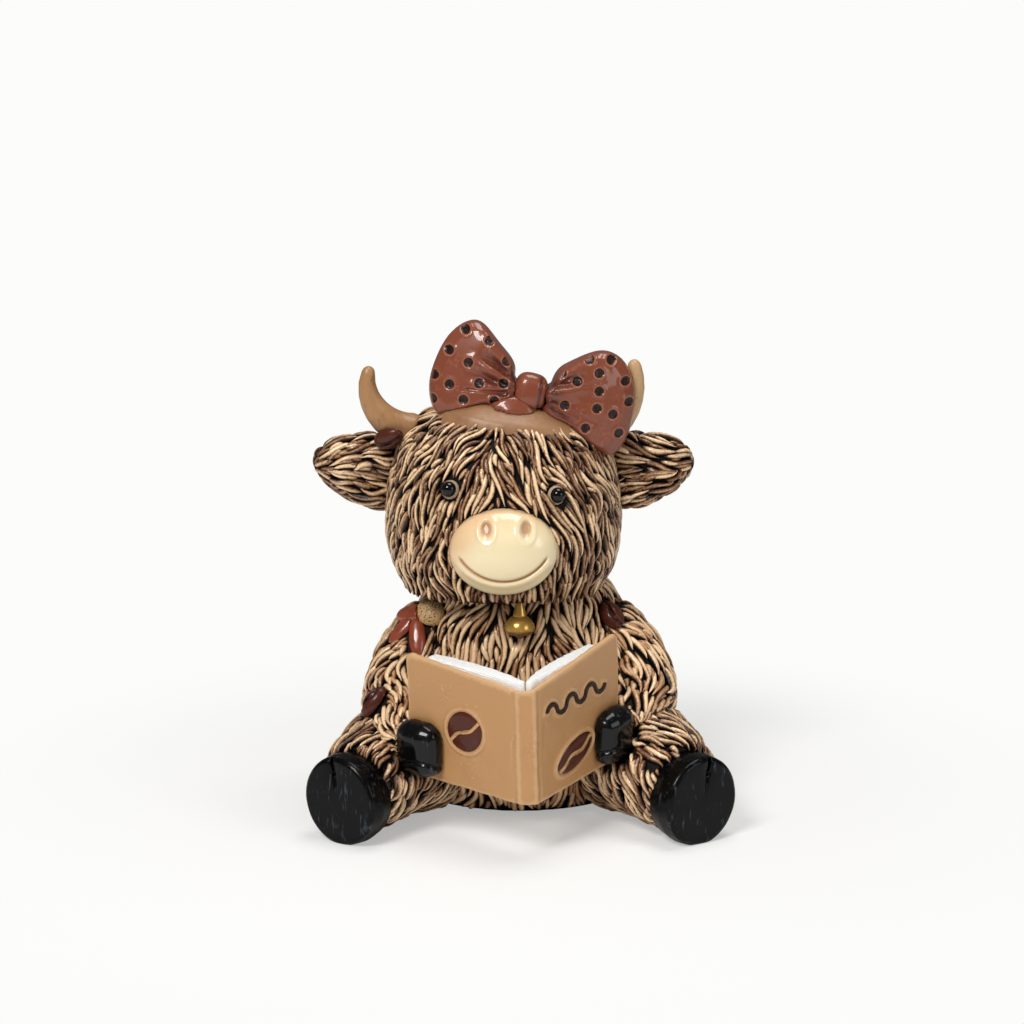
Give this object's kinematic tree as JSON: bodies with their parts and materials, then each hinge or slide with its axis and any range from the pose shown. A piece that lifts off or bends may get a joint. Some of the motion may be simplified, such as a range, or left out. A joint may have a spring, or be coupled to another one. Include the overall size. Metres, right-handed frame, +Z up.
{
  "type": "animal figurine",
  "caption": "Seated highland cow figurine with a polka-dot bow and a bell, holding an open book between its front hooves.",
  "frame": {"origin": "middle of the flat face the figurine stands on, under the body", "axes": "+Z up, the figurine faces -Y, +X to the viewer's right as seen from the front"},
  "size_m": [0.0994, 0.0831, 0.1177],
  "materials": {
    "hair": "hand-painted resin, tan with dark wash in the hollows, satin",
    "muzzle": "hand-painted resin, cream, glossy",
    "eye": "black, high gloss",
    "eye_rim": "hand-painted resin, pale tan, satin",
    "horn": "hand-painted resin, tan, satin",
    "bed": "hand-painted resin, smooth tan, satin",
    "bow": "hand-painted resin, red-brown with dark dots, glossy",
    "ribbon": "hand-painted resin, red-brown, glossy",
    "button": "hand-painted resin, beige, fine stipple, satin",
    "cover": "hand-painted resin, tan, satin",
    "cover_relief": "hand-painted resin, dark brown, satin",
    "pages": "hand-painted resin, white with fine page lines, matte",
    "hoof": "hand-painted resin, black, glossy",
    "bean": "hand-painted resin, dark brown, glossy",
    "bell": "hand-painted resin, gold, glossy"
  },
  "bodies": {
    "root": {"torso": "hair", "head": "hair", "arm_left": "hair", "arm_right": "hair", "leg_left": "hair", "leg_right": "hair", "ear_left": "hair", "ear_right": "hair", "muzzle": "muzzle", "eye_left": "eye", "eye_right": "eye", "eye_rim_left": "eye_rim", "eye_rim_right": "eye_rim", "horn_left": "horn", "horn_right": "horn", "bow_bed": "bed", "bow_loop_left": "bow", "bow_loop_right": "bow", "bow_knot": "bow", "bow_flap": "bow", "ribbon_knot": "ribbon", "ribbon_loop": "ribbon", "ribbon_tail_front": "ribbon", "ribbon_tail_back": "ribbon", "ribbon_button": "button", "book_cover": "cover", "cover_scroll": "cover_relief", "page_block_left": "pages", "page_block_right": "pages", "hand_hoof_left": "hoof", "hand_hoof_right": "hoof", "foot_hoof_left": "hoof", "foot_hoof_right": "hoof", "cover_bean_left": "bean", "cover_bean_right": "bean", "head_bean": "bean", "arm_bean": "bean", "shoulder_bean": "bean", "bell": "bell", "bell_hanger": "bell", "bell_clapper": "bell"}
  },
  "joints": []
}
